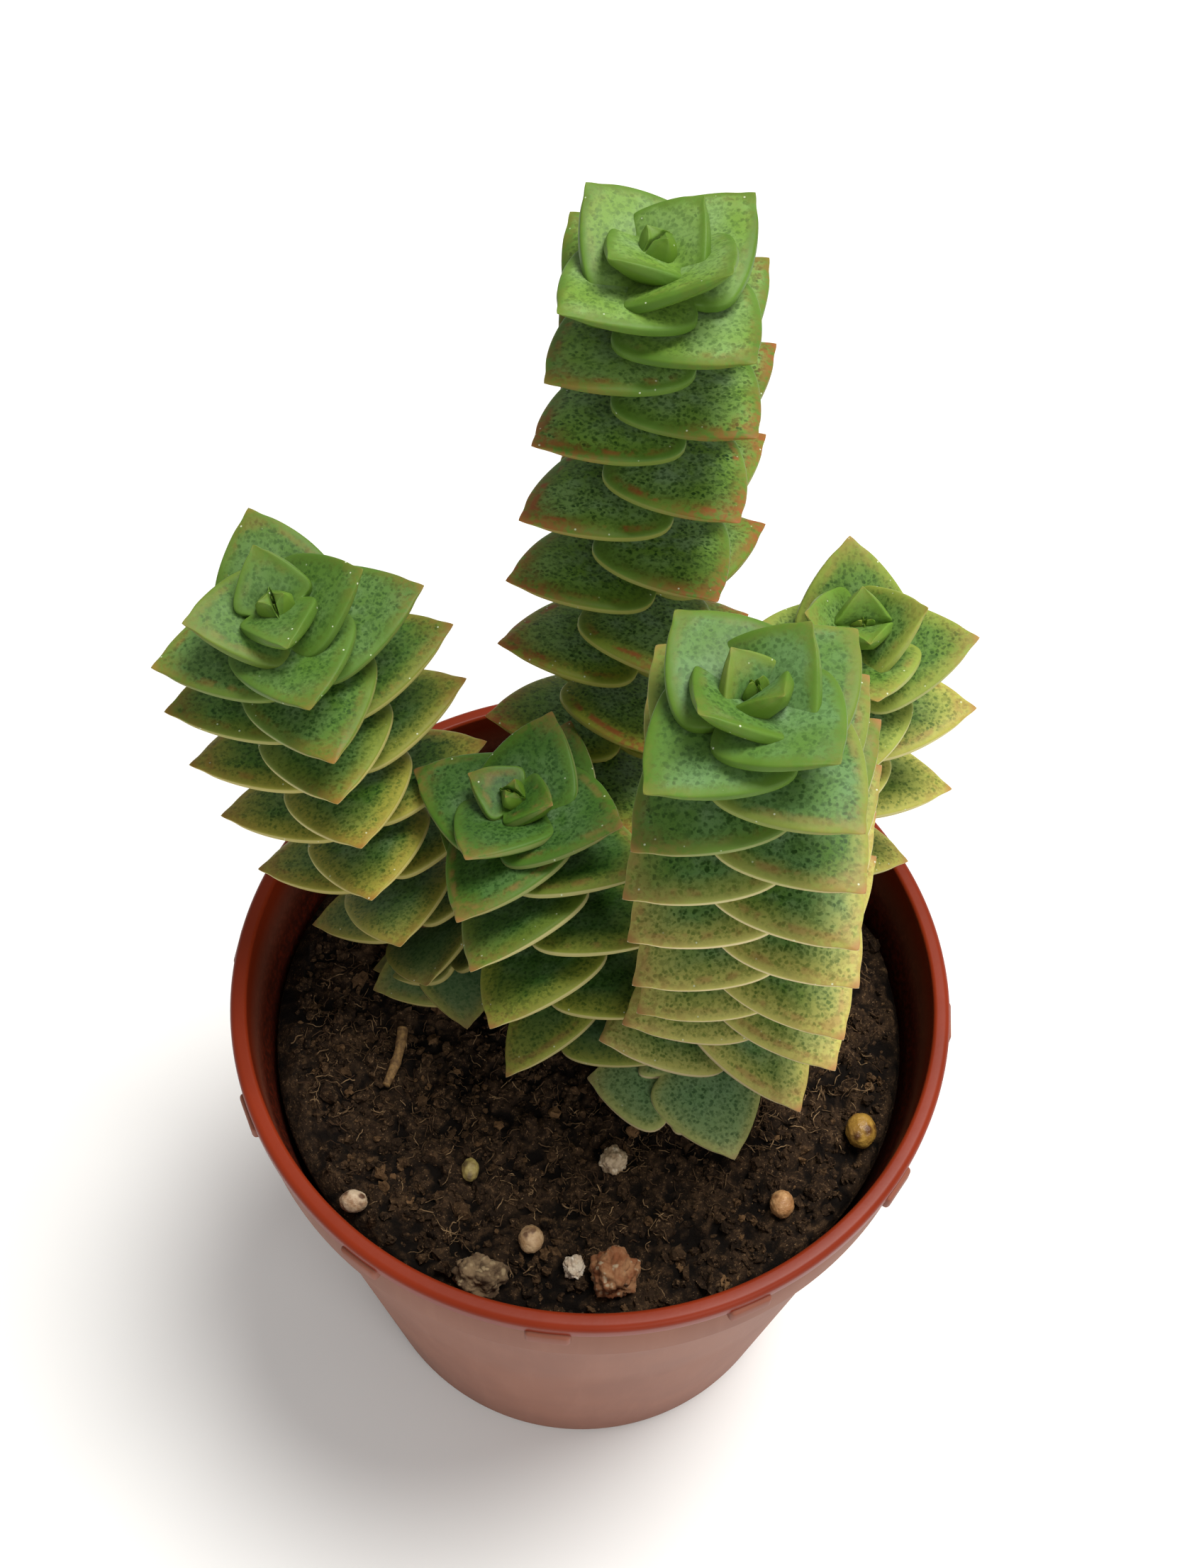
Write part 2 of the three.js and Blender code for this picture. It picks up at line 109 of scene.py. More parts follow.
# What the CAD part tries in turn on a leaf that finds no room: a share of its reach, a lift and a bend.
DODGES = [
    (share, lift, bend)
    for share in (1, 0.9, 0.8, 0.7, 0.6, 0.5, 0.4, 0.3) for lift in (0, 7, 14, -6) for bend in (0, 2, -2)
]
SLIMMINGS = (1, 0.85, 0.7, 0.55, 0.4)
CAD_RINGS = (0.76, 0.48)
# Mean miss, in mm, of a leaf's corners that counts as found; the most that one corner counts; the gain
# that is worth a slimmer pair; and the small cost of each later dodge.
MISS = Values(found=0.12, cap=1.0, gain=0.02, rank=1e-4)

GRAINS = {
    "clay_grain_front": Values(at=(4, -33), size=(5.2, 5.6, 4.8)),
    "clay_grain_rim": Values(at=(-11, -34), size=(5.6, 4.6, 4.4)),
    "perlite_large": Values(at=(3.5, -19.5), size=(3, 3.2, 2.8)),
    "perlite_small": Values(at=(-0.5, -32.5), size=(2.2, 2.6, 2)),
    "feed_grain_right": Values(at=(32.5, -14.5), size=(3.6, 4.2, 3.4)),
    "feed_grain_front": Values(at=(23, -24), size=(2.8, 3.2, 2.8)),
    "feed_grain_middle": Values(at=(-5.5, -29.5), size=(2.8, 3.2, 2.6)),
    "feed_grain_left": Values(at=(-26, -26), size=(3.2, 2.6, 2.6)),
    "feed_grain_inner": Values(at=(-13, -21.5), size=(2, 2.8, 2)),
}
GRAIN_RISE = 0.1
TWIG = Values(start=(-22.5, -4), end=(-23.7, -11.5), rise=0.6, radius=0.8)

# ---- detail that only the looks have ----

PAIR_RINGS = 56
PAIR_AROUND = 40
POT_AROUND = 240
SOIL_RINGS = 110
SOIL_AROUND = 360
TAB_ROUND = 0.5
TAB_SHARE_OF_LIP = 0.3  # how much of the lip's own plastic colour the lugs have; the rest is the wall's paler colour with painted reflection
STALK_STEPS = 60
TWIG_STEPS = 40

FINE = Values(
    waist=0.36, waist_length=9,  # the notch between two blades, sharper than in the solid
    crowding=0.62,  # how much closer together the rings stand towards the tips
    roll=0.4,  # the lower, the tighter the margins are rolled
    edge=0.85,  # thickness of the margin as a share of the solid's
    cup=0.12,  # how much higher the margins stand than the solid's
    plump=0.7, plump_pairs=1.2,  # extra thickness of the bud's leaves, and how soon it fades
    beak=0.14, beak_at=0.93, beak_length=0.05,  # the pinch behind the point
    wave=0.28, ripple=0.035,  # unevenness of the faces and of the outline
)
# Ranges are drawn evenly, and a crumb's size by a log-normal law with this mean and spread.
CRUMBS = Values(
    seed=4, count=3600, reach=37.2, size=(-1.0, 0.42), width=(0.5, 1.3), roughness=0.8, finer_from=0.38,
    tone=(-0.1, 0.3), tone_limits=(-0.6, 0.8),
)
FIBRES = Values(
    seed=9, tufts=260, reach=35, spread=(0.8, 2.4), number=(3, 14), points=7, step=(0.12, 0.42),
    radius=(0.03, 0.085), lift=(0.0, 0.5), bend=0.4,
)
CLODS = Values(large=2.9, small=1.15, rough=0.9, sway=0.9, sway_size=2.1, height=0.95, sink=0.35)
FOOT_CLEARANCE = 3.4
GRAIN_CLEARANCE = 0.4

# ---- camera and light ----

CAMERA = Values(place=(0.0, -102.59, 261.69), down=54.83, heading=-0.622, roll=1.999)
FRAME_HEIGHT = 2212
FOCAL_PIXELS = 2500
SENSOR = 36
FLOOR = Values(half=1500, steps=8, height=-0.05)
# Place and size in metres, power in watts, colour.
LIGHTS = {
    "key": ((0.38, 0.2, 1.35), 0.7, 22, (1.0, 0.98, 0.94)),
    "fill": ((0.6, -1.0, 0.8), 1.0, 6.5, (1.0, 0.99, 0.97)),
}
LIGHT_TARGET = (0, 0, 0.09)
AIR = Values(colour=(1.0, 0.99, 0.97, 1), strength=0.37)


def linear(colour):
    """A display colour such as "#8c6c3e", as linear light."""
    display = [int(colour[place:place + 2], 16) for place in (1, 3, 5)]
    return (*(((v / 255 + 0.055) / 1.055) ** 2.4 if v > 10 else v / 255 / 12.92 for v in display), 1)


def lerp(a, b, t):
    return a + (b - a) * t


# ---- meshes ----


def outward(points, faces):
    """The faces of a closed shell, turned so that they look outward."""
    points = np.array(points, float)
    volume = 0
    for corners in {len(face) for face in faces}:
        group = np.array([face for face in faces if len(face) == corners])
        first = points[group[:, 0]]
        for step in range(1, corners - 1):
            volume += (first * np.cross(points[group[:, step]], points[group[:, step + 1]])).sum()
    return faces if volume > 0 else [tuple(reversed(face)) for face in faces]


def linked(name, data):
    """A new object of the scene."""
    thing = bpy.data.objects.new(name, data)
    bpy.context.scene.collection.objects.link(thing)
    return thing


def loose_object(name, points, faces):
    """A mesh object from points in millimetres."""
    mesh = bpy.data.meshes.new(name)
    mesh.from_pydata((np.asarray(points, float) * MM).tolist(), [], faces)
    return linked(name, mesh)


class Piece:
    """Closed shells gathered into one mesh, with a value per corner for each mark."""

    def __init__(self):
        self.points = []
        self.faces = []
        self.marks = {}
        self.face_slots = []

    def add(self, points, faces, face_slot=0, **marks):
        start = len(self.points)
        self.points.extend(map(tuple, points))
        self.faces.extend([tuple(start + corner for corner in face) for face in outward(points, faces)])
        self.face_slots.extend([face_slot] * len(faces))
        for mark in sorted({*marks, *self.marks}):
            values = self.marks.setdefault(mark, [0.0] * start)
            values.extend(np.broadcast_to(marks.get(mark, 0.0), len(points)).tolist())

    def place(self, name, slot, materials, replaced=None):
        """Makes the piece, which rides on the part's one body."""
        piece = loose_object(name, self.points, self.faces)
        piece.data.shade_smooth()
        for mark, values in self.marks.items():
            attribute = piece.data.attributes.new(mark, "FLOAT", "POINT")
            attribute.data.foreach_set("value", np.asarray(values, np.float32))
        for material in materials:
            piece.data.materials.append(material)
        if any(self.face_slots):
            piece.data.polygons.foreach_set("material_index", self.face_slots)
        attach(piece, "root")
        if replaced:
            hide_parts(replaced)
        return piece


def ring_faces(rings, around, first_pole, last_pole):
    """Faces of a closed shell of rings, each of the same number of corners, between two poles."""
    faces = []
    for side in range(around):
        following = (side + 1) % around
        faces.append((first_pole, following, side))
        last = (rings - 1) * around
        faces.append((last_pole, last + side, last + following))
        for ring in range(rings - 1):
            here = ring * around
            there = here + around
            faces.append((here + side, here + following, there + following, there + side))
    return faces


def tube(path, radii, sides):
    """A closed round rod along a path."""
    path = [Vector(point) for point in path]
    points = []
    normal = None
    for index, point in enumerate(path):
        ahead = path[min(index + 1, len(path) - 1)] - path[max(index - 1, 0)]
        ahead.normalize()
        if normal is None:
            normal = ahead.orthogonal().normalized()
        normal = (normal - ahead * normal.dot(ahead)).normalized()
        side = ahead.cross(normal)
        for step in range(sides):
            angle = math.tau * step / sides
            points.append(point + radii[index] * (math.cos(angle) * normal + math.sin(angle) * side))
    points += [path[0], path[-1]]
    return points, ring_faces(len(path), sides, len(points) - 2, len(points) - 1)


def circle(radius, height, around):
    """Points of a level circle about the pot's axis."""
    angles = [math.tau * step / around for step in range(around)]
    return [(radius * math.cos(angle), radius * math.sin(angle), height) for angle in angles]


def lathe(profile, around):
    """A closed body of revolution. The profile starts and ends on the axis."""
    points = []
    for radius, height in profile[1:-1]:
        points += circle(radius, height, around)
    points += [(0, 0, profile[0][1]), (0, 0, profile[-1][1])]
    return points, ring_faces(len(profile) - 2, around, len(points) - 2, len(points) - 1)


def shell_of(form):
    """Points and faces of a bmesh, which is then freed."""
    points = [vertex.co.copy() for vertex in form.verts]
    faces = [[vertex.index for vertex in face.verts] for face in form.faces]
    form.free()
    return points, faces


def arc(centre, radius, start, end, steps):
    """Points on an arc in the (radius, height) plane; angles in degrees."""
    angles = [math.radians(lerp(start, end, step / steps)) for step in range(steps + 1)]
    return [(centre[0] + radius * math.cos(a), centre[1] + radius * math.sin(a)) for a in angles]


# ---- materials ----


class Shader:
    """Builds one procedural material, with coordinates in millimetres."""

    def __init__(self, name):
        self.material = bpy.data.materials.new(name)
        self.material.use_nodes = True
        self.tree = self.material.node_tree
        self.tree.nodes.clear()
        self.surface = self.node("BsdfPrincipled")
        self.put(self.node("OutputMaterial").inputs[0], self.surface.outputs[0])
        place = self.node("TexCoord").outputs["Object"]
        self.place = self.vector_math("SCALE", place, 1 / MM)
        self.bump = None

    def node(self, kind, inputs=None, **settings):
        """A new node with its settings, and with values or links on its inputs."""
        node = self.tree.nodes.new("ShaderNode" + kind)
        for name, value in settings.items():
            setattr(node, name, value)
        for socket, value in (inputs or {}).items():
            self.put(node.inputs[socket], value)
        return node

    def put(self, socket, value):
        """Links a socket to another one, or gives it a plain value; a string is a display colour."""
        if isinstance(value, bpy.types.NodeSocket):
            self.tree.links.new(value, socket)
        else:
            socket.default_value = linear(value) if isinstance(value, str) else value

    def vector_math(self, operation, first, second):
        second_socket = "Scale" if operation == "SCALE" else 1
        return self.node("VectorMath", {0: first, second_socket: second}, operation=operation).outputs[0]

    def math(self, operation, first, second=0.0):
        return self.node("Math", {0: first, 1: second}, operation=operation).outputs[0]

    def times(self, *factors):
        product = factors[0]
        for factor in factors[1:]:
            product = self.math("MULTIPLY", product, factor)
        return product

    def mark(self, name):
        """The value that the mesh carries under this name."""
        return self.node("Attribute", attribute_name=name).outputs["Fac"]

    def span(self, value, low, high, to_low=0.0, to_high=1.0):
        """Smooth step: to_low where value is low, to_high where it is high."""
        inputs = {"Value": value, "From Min": low, "From Max": high, "To Min": to_low, "To Max": to_high}
        return self.node("MapRange", inputs, interpolation_type="SMOOTHSTEP").outputs[0]

    def noise(self, size, detail=2.0, roughness=0.5, stretch=None):
        """Noise with features of the given size in millimetres."""
        place = self.place if stretch is None else self.vector_math("MULTIPLY", self.place, stretch)
        inputs = {"Scale": 1 / size, "Detail": detail, "Roughness": roughness, "Vector": place}
        return self.node("TexNoise", inputs).outputs["Fac"]

    def cells(self, size, wobble=0.0):
        """Distance from the middles of cells of the given size in millimetres."""
        place = self.place
        if wobble:
            drift = self.node("TexNoise", {"Scale": 1 / size, "Vector": place}).outputs["Color"]
            place = self.vector_math("ADD", place, self.vector_math("SCALE", drift, wobble * size))
        return self.node("TexVoronoi", {"Scale": 1 / size, "Vector": place}).outputs["Distance"]

    def mix(self, factor, first, second):
        """A blend of two colours, from first at 0 to second at 1."""
        return self.node("Mix", {"Factor": factor, 6: first, 7: second}, data_type="RGBA").outputs[2]

    def relief(self, height, depth, strength=1.0):
        """Adds a bump of the given depth in millimetres."""
        inputs = {"Distance": depth * MM, "Strength": strength, "Height": height}
        if self.bump is not None:
            inputs["Normal"] = self.bump
        self.bump = self.node("Bump", inputs).outputs[0]

    def finish(self, colour, roughness, **inputs):
        """Puts the looks on the surface shader and gives the material."""
        inputs.update(Base_Color=colour, Roughness=roughness)
        if self.bump is not None:
            inputs["Normal"] = self.bump
        for name, value in inputs.items():
            self.put(self.surface.inputs[name.replace("_", " ")], value)
        return self.material


def leaf_material(name, look):
    """Waxy leaf: finely mottled face that turns yellow towards the margin, rusty tip, pale rim."""
    s = Shader(name)
    margin, along, age, chance, top, side = (
        s.mark(name) for name in ("margin", "along", "age", "chance", "top", "side"))
    broad = s.noise(6, 2)
    patches = s.noise(2.2, 3, 0.6)
    grain = s.noise(0.5, 3, 0.65)

    # the ground: green with a whitish bloom, fresh or yellow towards the margin
    bloom = s.times(s.span(patches, 0.38, 0.68), s.span(along, 0.8, 0.2, 0.15, 1.0),
                    s.span(margin, 1.2, 4.0), s.span(age, 0.0, 0.15, 0.45, 1.0))
    ground = s.mix(s.span(broad, 0.35, 0.65), *look.ground)
    ground = s.mix(s.times(bloom, look.bloom), ground, "#86a07e")
    young = s.mix(s.span(broad, 0.3, 0.7), *look.young)
    yellow = s.span(s.math("ADD", age, s.times(s.math("SUBTRACT", chance, 0.5), 0.2)), *look.yellow_age)
    margin_tone = s.mix(yellow, young, look.margin)
    ragged = s.span(age, 0.05, 0.5, *look.band)
    ragged = s.math("ADD", ragged, s.times(s.math("SUBTRACT", patches, 0.5), 3.0))
    band = s.span(margin, ragged, 0.2)
    colour = s.mix(band, ground, margin_tone)

    # the mottling: small dark dots and a fine net, fainter on the margin
    dots = s.span(s.cells(0.56, wobble=1.1), 0.5, 0.24)
    net = s.span(grain, 0.47, 0.6)
    mottle = s.times(s.math("MAXIMUM", dots, s.times(net, look.net)), s.span(margin, 0.1, 0.9, 0.15, 1.0))
    mottle = s.times(mottle, s.span(patches, 0.2, 0.65, 1.0, 0.7), s.span(age, 0.02, 0.25, 0.45, 1.0))
    dark = s.mix(band, "#1e3e11", look.dots)
    colour = s.mix(mottle, colour, dark)

    # rust: a broken streak along the margin, patches near the tip and the tip itself
    streak_line = s.math("ABSOLUTE", s.math("SUBTRACT", margin, 0.9))
    streak = s.times(s.span(streak_line, 0.6, 0.1), s.span(s.noise(2.4, 3, 0.6), 0.44, 0.6),
                     s.span(along, 0.1, 0.5), s.span(chance, 0.2, 0.6))
    tip = s.times(s.span(along, look.tip_start, 0.95), s.span(s.noise(1.0, 3, 0.65), 0.34, 0.6),
                  s.span(margin, 2.4, 0.2))
    beak = s.times(s.span(along, 0.9, 0.99), 0.85)
    rust = s.math("MAXIMUM", s.times(s.math("MAXIMUM", tip, streak), look.tip_strength), beak)
    rust = s.times(rust, s.span(age, 0.04, 0.25))
    colour = s.mix(rust, colour, look.tip)

    # undersides carry little mottling; the oldest leaves are dull and bluish
    under = s.mix(s.span(broad, 0.3, 0.7), "#547420", "#62802e")
    under = s.mix(s.times(yellow, 0.5), under, look.margin)
    under = s.mix(s.times(dots, s.span(margin, 0.8, 2.0), 0.4), under, "#34541a")
    colour = s.mix(s.span(top, -0.25, -0.6), colour, under)
    dull = s.times(s.span(age, look.dull_age, 1.0), s.span(margin, 0.2, 1.6, 0.4, 0.75))
    colour = s.mix(dull, colour, s.mix(mottle, look.dull, "#3a5834"))
    edge_on = s.span(s.math("ABSOLUTE", s.math("ADD", side, 0.1)), 0.62, 0.3)
    rim = s.times(edge_on, s.span(margin, 0.5, 0.15))
    colour = s.mix(s.times(rim, s.span(age, 0.1, 0.4), look.rim_strength), colour, look.rim)
    specks = s.times(s.span(s.cells(1.5), 0.085, 0.04), s.span(margin, 1.6, 0.6))
    colour = s.mix(s.times(specks, 0.85), colour, "#ced6ba")

    s.relief(mottle, 0.02, 0.4)
    s.relief(patches, 0.25, 0.35)
    roughness = s.span(bloom, 0.0, 1.0, 0.5, 0.66)
    return s.finish(
        colour, roughness, Specular_IOR_Level=0.19, Subsurface_Weight=0.1,
        Subsurface_Radius=(0.9, 1.3, 0.4), Subsurface_Scale=MM,
    )


# Tones of the leaves by their place, and numbers: the strength of the net, the bloom, the tip and the rim,
# the width of the margin's band in mm on young and on old leaves, and the ages, from 0 at the crown to 1 at
# the soil, between which the margins turn yellow or from which leaves are dull.
COMMON_LOOK = dict(net=0.65, tip_start=0.6, tip_strength=0.45, rim_strength=0.75)
LOOKS = {
    "stem_front": dict(
        ground=("#547830", "#60844c"), net=0.6, bloom=0.7, young=("#4d6e1f", "#58792a"), band=(1.3, 4.0),
        yellow_age=(0.12, 0.45), margin="#b2ac5c", dots="#60742c", tip="#9e6844", rim="#d6c698",
        rim_strength=0.9, dull="#749464", dull_age=0.84,
    ),
    "stem_tall": dict(
        ground=("#6a8c36", "#789854"), bloom=0.75, young=("#4e7022", "#5c7e2e"), band=(1.2, 3.4),
        yellow_age=(0.25, 0.9), margin="#8e8e2e", dots="#4c641e", tip="#924c2a", tip_start=0.45,
        tip_strength=0.85, rim="#a8a056", rim_strength=0.55, dull="#5e7a4c", dull_age=0.85,
    ),
    "stem_left": dict(
        ground=("#4c6e28", "#58783c"), bloom=0.55, young=("#4a6a22", "#56762e"), band=(1.2, 3.4),
        yellow_age=(0.12, 0.5), margin="#948e3a", dots="#4e601e", tip="#8e602e", tip_strength=0.5,
        rim="#c6b876", rim_strength=0.65, dull="#4c6448", dull_age=0.6,
    ),
    "stem_right": dict(
        ground=("#5a7c30", "#668642"), net=0.6, bloom=0.6, young=("#5a7e26", "#668834"), band=(1.5, 4.4),
        yellow_age=(0.05, 0.35), margin="#acaa52", dots="#5c722a", tip="#9e6e42", rim="#d2c88e",
        dull="#607c46", dull_age=0.92,
    ),
    "stem_small": dict(
        ground=("#3c6022", "#486a34"), bloom=0.35, young=("#42661c", "#4e7028"), band=(1.2, 3.6),
        yellow_age=(0.2, 0.6), margin="#8e923a", dots="#465c1c", tip="#92623c", rim="#c6ba82",
        dull="#48643e", dull_age=0.66,
    ),
}


def bark_material(name):
    """Brown-green skin of a bare stem or twig."""
    s = Shader(name)
    fibre = s.noise(0.6, 4, 0.6, stretch=(1.0, 1.0, 0.2))
    colour = s.mix(s.span(fibre, 0.35, 0.65), "#5c4224", "#8c6c3e")
    s.relief(fibre, 0.3, 0.7)
    return s.finish(colour, 0.8)


def plastic_material():
    """Terracotta-coloured moulded plastic: lip and inside in the plastic's own colour, dull wall paler with
    painted reflection, painted shade inside.
    """
    s = Shader("moulded_plastic")
    inside = s.mark("inside")
    lip = s.mark("lip")
    clouds = s.noise(12, 2, 0.5)
    flow = s.noise(2.2, 3, 0.6, stretch=(1.0, 1.0, 0.06))
    scuff = s.noise(0.7, 4, 0.7)
    plastic_colour = s.mix(s.span(clouds, 0.3, 0.7), "#7e2a12", "#742610")
    # painted reflection: the outer wall is the same plastic made paler and greyer, standing in for the pale
    # floor reflected in it
    wall = s.mix(s.span(clouds, 0.3, 0.7), "#8a5c4a", "#825646")
    wall = s.mix(s.times(s.span(flow, 0.45, 0.75), 0.3), wall, "#966856")
    colour = s.mix(s.math("MAXIMUM", lip, inside), wall, plastic_colour)
    # painted shade: the inside wall is darkened in noisy blotches to stand in for the shadow inside the pot
    inner_shade = s.times(inside, s.span(scuff, 0.3, 0.6, 0.45, 0.95))
    colour = s.mix(inner_shade, colour, "#30130b")
    s.relief(flow, 0.1, 0.2)
    s.relief(scuff, 0.02, 0.3)
    roughness = s.span(lip, 0.0, 1.0, 0.55, 0.36)
    return s.finish(colour, roughness, Specular_IOR_Level=0.14)


def peat_material():
    """Dark, damp peat: brown on the crumbs, with painted shade that makes the hollows near black."""
    s = Shader("damp_peat")
    tone = s.mark("tone")
    crumbs = s.noise(0.8, 4, 0.7)
    flecks = s.noise(0.3, 2, 0.6)
    colour = s.mix(s.span(s.noise(4.5, 3, 0.6), 0.35, 0.7), "#21170f", "#35271b")
    colour = s.mix(s.span(crumbs, 0.46, 0.66), colour, "#4c3927")
    colour = s.mix(s.times(s.span(flecks, 0.6, 0.74), 0.8), colour, "#8a6e50")
    # tone: above 0 lighter crumbs at random; below 0 darker crumbs at random and, on the bed, painted shade
    # in the hollows
    colour = s.mix(s.span(tone, 0.0, 1.0), colour, "#785a3c")
    colour = s.mix(s.span(tone, -0.1, -1.0), colour, "#0e0906")
    s.relief(crumbs, 0.5, 0.9)
    return s.finish(colour, 0.9, Specular_IOR_Level=0.12)


def fibre_material():
    """Dry root fibres in the peat."""
    s = Shader("peat_fibre")
    tone = s.mark("tone")
    colour = s.mix(tone, "#423020", "#967a58")
    colour = s.mix(s.span(s.noise(1.1, 2), 0.4, 0.7), colour, "#3a281a")
    return s.finish(colour, 0.85, Specular_IOR_Level=0.15)


def grain_material(name, light, dark, spot, spot_size, roughness):
    """A mineral or feed grain: two tones in clouds, with fine spots."""
    s = Shader(name)
    clouds = s.noise(1.6, 4, 0.6)
    colour = s.mix(s.span(clouds, 0.35, 0.65), dark, light)
    colour = s.mix(s.span(s.cells(spot_size, wobble=0.8), 0.4, 0.15), colour, spot)
    s.relief(s.noise(0.5, 4, 0.65), 0.25, 0.6)
    return s.finish(colour, roughness)


# ---- pot ----


def inner_radius(height):
    """Radius of the pot's inside at a height."""
    share = min(height / SHOULDER, 1)
    return lerp(POT.base_radius, POT.body_top_radius, share) - POT.wall


def pot_profile():
    """Outline of the pot's wall: up the outside, over the lip, down the inside."""
    lip_inner = POT.rim_radius - POT.lip_width
    outer_round = 0.8
    inner_round = 0.45
    base_round = 0.6
    base = POT.base_radius
    rim = POT.rim_radius
    collar = POT.collar_radius
    bore = inner_radius(SHOULDER)
    profile = [(0, 0), (DRAIN.circle - 6, 0), (base - 3, 0)]
    profile += arc((base - base_round, base_round), base_round, -90, 0, 5)
    for share in (0.02, 0.3, 0.6, 0.985):
        profile.append((lerp(base, POT.body_top_radius, share), lerp(base_round, SHOULDER, share)))
    profile += arc((collar - 0.5, SHOULDER + 0.6), 0.5, -70, 0, 4)
    profile += [(collar, LIP_FOOT - 0.55), (collar - 0.05, LIP_FOOT - 0.4)]
    profile += [(collar - 0.02, LIP_FOOT - 0.12), (collar + 0.25, LIP_FOOT)]
    profile += arc((rim - 0.35, LIP_FOOT + 0.35), 0.35, -90, 0, 4)
    profile += arc((rim - outer_round, POT.height - outer_round), outer_round, 0, 90, 8)
    profile += arc((lip_inner + inner_round, POT.height - inner_round), inner_round, 90, 180, 6)
    profile += [(lip_inner - 0.05, POT.height - 2.2), (bore + 0.55, SHOULDER + 1.1)]
    profile += [(bore + 0.1, SHOULDER - 0.4), (bore, SHOULDER - 1.2)]
    profile += [(inner_radius(40), 40), (inner_radius(15), 15)]
    floor = POT.floor
    profile += arc((inner_radius(floor) - 1, floor + 1), 1, 0, -90, 4)
    profile += [(DRAIN.circle + 6, floor), (DRAIN.circle - 6, floor), (0, floor)]
    return profile


def rounded_block(length, width, height, ease):
    """A small moulded block with eased edges, as a closed shell of points and faces."""
    block = bmesh.new()
    bmesh.ops.create_cube(block, size=1)
    bmesh.ops.scale(block, vec=(length, width, height), verts=block.verts)
    bmesh.ops.bevel(block, geom=block.edges[:], offset=ease, segments=3, affect="EDGES", profile=0.5)
    return shell_of(block)


def pierced(points, faces):
    """The pot's wall and floor with the drain holes cut through."""
    wall = loose_object("pot_wall", points, outward(points, faces))
    cutters = []
    for index in range(DRAIN.count):
        angle = math.tau * index / DRAIN.count
        x, y = DRAIN.circle * math.cos(angle), DRAIN.circle * math.sin(angle)
        rod, sides = tube([(x, y, -3), (x, y, 6)], [DRAIN.radius] * 2, 32)
        cutter = loose_object("drain_cutter", rod, outward(rod, sides))
        cut = wall.modifiers.new("drain", "BOOLEAN")
        cut.operation = "DIFFERENCE"
        cut.object = cutter
        cut.solver = "EXACT"
        cutters.append(cutter)
    mesh = wall.evaluated_get(bpy.context.evaluated_depsgraph_get()).to_mesh()
    points = [vertex.co / MM for vertex in mesh.vertices]
    faces = [tuple(face.vertices) for face in mesh.polygons]
    for loose in (wall, *cutters):
        bpy.data.objects.remove(loose)
    return points, faces


def build_pot():
    """The pot's shell and the lugs in the corner under its lip."""
    pot = Piece()
    points, faces = pierced(*lathe(pot_profile(), POT_AROUND))
    inside = [1 < z < POT.height - 3 and math.hypot(x, y) < inner_radius(z) + 0.7 for x, y, z in points]
    lip = [z > LIP_FOOT - 0.1 for _, _, z in points]
    pot.add(points, faces, inside=inside, lip=lip)
    height = TAB.height + POT.ease
    points, faces = rounded_block(TAB.reach + POT.wall, TAB.length, height, TAB_ROUND)
    top = LIP_FOOT + POT.ease
    offset = Vector((POT.collar_radius + (TAB.reach - POT.wall) / 2, 0, top - height / 2))
    for index in range(TAB.count):
        angle = math.radians(TAB.turn + 360 * index / TAB.count)
        turn = Matrix.Rotation(angle, 3, "Z")
        pot.add([turn @ (point + offset) for point in points], faces, lip=TAB_SHARE_OF_LIP)
    pot.place("pot_shell", "pot_plastic", [plastic_material()], "pot")


# ---- soil ----


def clods(x, y):
    """Relief of the surface's clods and crumbs, from about -1 in the hollows to 1."""
    sway_x, sway_y = (CLODS.sway * noise.noise(Vector((x, y, layer)) / CLODS.sway_size) for layer in (1, 7))

    def humps(size, layer):
        return 1 - noise.voronoi(Vector((x + sway_x, y + sway_y, layer)) / size)[0][0] * 2.4

    rough = noise.fractal(Vector((x, y, 5)) / CLODS.rough, 0.6, 2.1, 4)
    return 0.5 * humps(CLODS.large, 3) + 0.35 * humps(CLODS.small, 9) + 0.35 * rough


def soil_height(x, y):
    """Height of the soil's surface."""
    wide = math.sin(0.23 * x + 1.3) * math.cos(0.19 * y - 0.6)
    lumps = math.sin(0.61 * x - 0.43 * y) * math.sin(0.52 * y + 0.37 * x + 2.1)
    bed = SOIL.level + SOIL.relief * (0.45 * wide + 0.55 * lumps)
    return bed + CLODS.height * clods(x, y) - CLODS.sink


def soil_point(radius, angle):
    """A point of the surface; the root ball is drawn back from the wall on the left."""
    rim = inner_radius(SOIL.level) - GAP
    x, y = radius * math.cos(angle), radius * math.sin(angle)
    leftness = max(0, -math.cos(angle)) ** 2
    ragged = 0.5 * noise.noise(Vector((2.5 * math.cos(angle), 2.5 * math.sin(angle), 0)) * 2.2)
    squeeze = 1 - (SOIL.shrink * leftness + ragged) * (radius / rim) ** 6 / rim
    drop = SOIL.drop * (radius / rim) ** 8
    return x * squeeze, y * squeeze, soil_height(x, y) - drop


